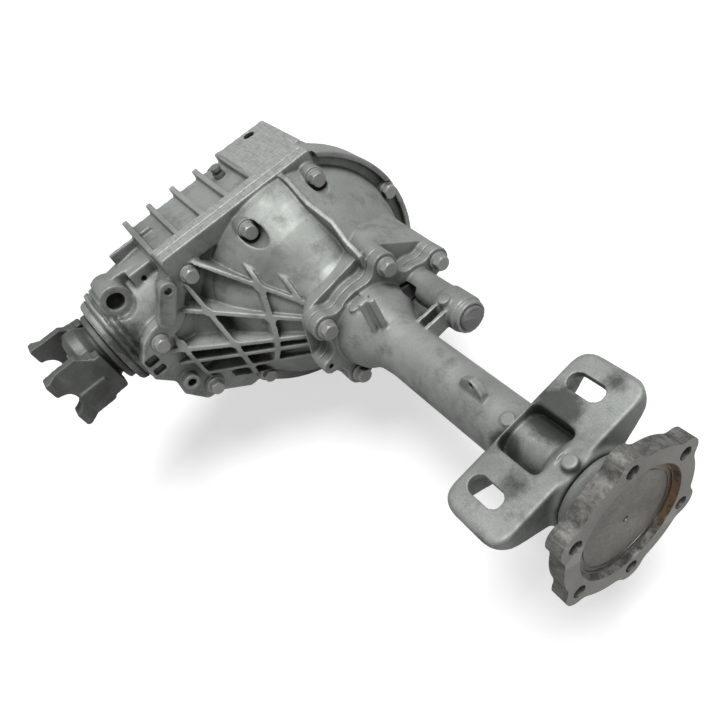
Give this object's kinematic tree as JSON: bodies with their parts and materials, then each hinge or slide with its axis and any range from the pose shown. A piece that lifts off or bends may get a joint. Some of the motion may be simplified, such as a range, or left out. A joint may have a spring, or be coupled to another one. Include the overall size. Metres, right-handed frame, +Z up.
{
  "type": "front differential",
  "caption": "Front axle differential with a split ribbed case, long axle tube with slotted bracket, hypoid and bevel gears, axle disconnect, output flanges and pinion yoke.",
  "frame": {"origin": "centre of the right output flange's face", "axes": "+X along the axle, out of the right output flange; +Z up, square to the bracket's top face; the pinion points towards -Y and is raised by 7 degrees"},
  "size_m": [0.62, 0.4042, 0.2627],
  "materials": {
    "cast_aluminium": "blasted casting",
    "flange_steel": "blasted forging, machined face",
    "fastener_steel": "dull grey coating",
    "gear_steel": "ground steel",
    "yoke_steel": "blasted forging",
    "carrier_iron": "cast",
    "seal_rubber": "matte"
  },
  "bodies": {
    "case": {"case_left": "cast_aluminium", "case_right": "cast_aluminium", "tube_housing": "cast_aluminium", "case_bolts": "fastener_steel", "tube_bolts": "fastener_steel", "dowel_pins": "gear_steel", "fill_plug": "fastener_steel", "drain_plug": "fastener_steel", "vent": "fastener_steel", "rail_cap": "flange_steel", "tube_seal": "seal_rubber", "tube_bearing": "gear_steel", "left_seal": "seal_rubber", "pinion_seal": "seal_rubber", "front_bearing_cup": "gear_steel", "rear_bearing_cup": "gear_steel", "left_side_cup": "gear_steel", "right_side_cup": "gear_steel", "left_adjuster": "flange_steel", "right_adjuster": "flange_steel", "fork_spring": "gear_steel"},
    "carrier": {"diff_case": "carrier_iron", "ring_gear": "gear_steel", "ring_bolts": "fastener_steel", "cross_pin": "gear_steel", "left_side_cone": "gear_steel", "right_side_cone": "gear_steel"},
    "pinion": {"pinion_gear": "gear_steel", "pinion_yoke": "yoke_steel", "dust_deflector": "flange_steel", "pinion_nut": "fastener_steel", "pinion_washer": "fastener_steel", "pinion_spacer": "fastener_steel", "front_bearing_cone": "gear_steel", "rear_bearing_cone": "gear_steel"},
    "right_side": {"right_side_gear": "gear_steel", "intermediate_shaft": "gear_steel"},
    "left_output": {"left_side_gear": "gear_steel", "left_output_shaft": "flange_steel"},
    "front_spider": {"front_spider_gear": "gear_steel"},
    "rear_spider": {"rear_spider_gear": "gear_steel"},
    "right_output": {"right_output_shaft": "flange_steel", "flange_plate": "flange_steel"},
    "fork": {"shift_fork": "flange_steel"},
    "collar": {"shift_collar": "gear_steel"}
  },
  "joints": [
    {"name": "carrier_spin", "type": "hinge", "parent": "case", "child": "carrier", "pos_m": [-0.488, 0, 0], "axis": [1, 0, 0], "continuous": true},
    {"name": "pinion_spin", "type": "hinge", "parent": "case", "child": "pinion", "pos_m": [-0.488, 0.00487, 0.0397], "axis": [0, 0.9925, -0.1219], "continuous": true},
    {"name": "right_side_spin", "type": "hinge", "parent": "carrier", "child": "right_side", "pos_m": [-0.488, 0, 0], "axis": [1, 0, 0], "continuous": true},
    {"name": "left_output_spin", "type": "hinge", "parent": "carrier", "child": "left_output", "pos_m": [-0.488, 0, 0], "axis": [1, 0, 0], "continuous": true},
    {"name": "front_spider_spin", "type": "hinge", "parent": "carrier", "child": "front_spider", "pos_m": [-0.488, 0, 0], "axis": [0, 0.9925, -0.1219], "continuous": true},
    {"name": "rear_spider_spin", "type": "hinge", "parent": "carrier", "child": "rear_spider", "pos_m": [-0.488, 0, 0], "axis": [0, 0.9925, -0.1219], "continuous": true},
    {"name": "right_output_spin", "type": "hinge", "parent": "case", "child": "right_output", "pos_m": [0, 0, 0], "axis": [1, 0, 0], "continuous": true},
    {"name": "fork_slide", "type": "slide", "parent": "case", "child": "fork", "axis": [1, 0, 0], "range_m": [-0.012, 0]},
    {"name": "collar_slide", "type": "slide", "parent": "right_output", "child": "collar", "axis": [1, 0, 0], "range_m": [-0.012, 0]}
  ],
  "couplings": [
    {"joint": "pinion_spin", "follows": "carrier_spin", "ratio": 3.4167},
    {"joint": "left_output_spin", "follows": "right_side_spin", "ratio": -1},
    {"joint": "front_spider_spin", "follows": "right_side_spin", "ratio": 1.6},
    {"joint": "rear_spider_spin", "follows": "right_side_spin", "ratio": -1.6},
    {"joint": "collar_slide", "follows": "fork_slide", "ratio": 1}
  ]
}
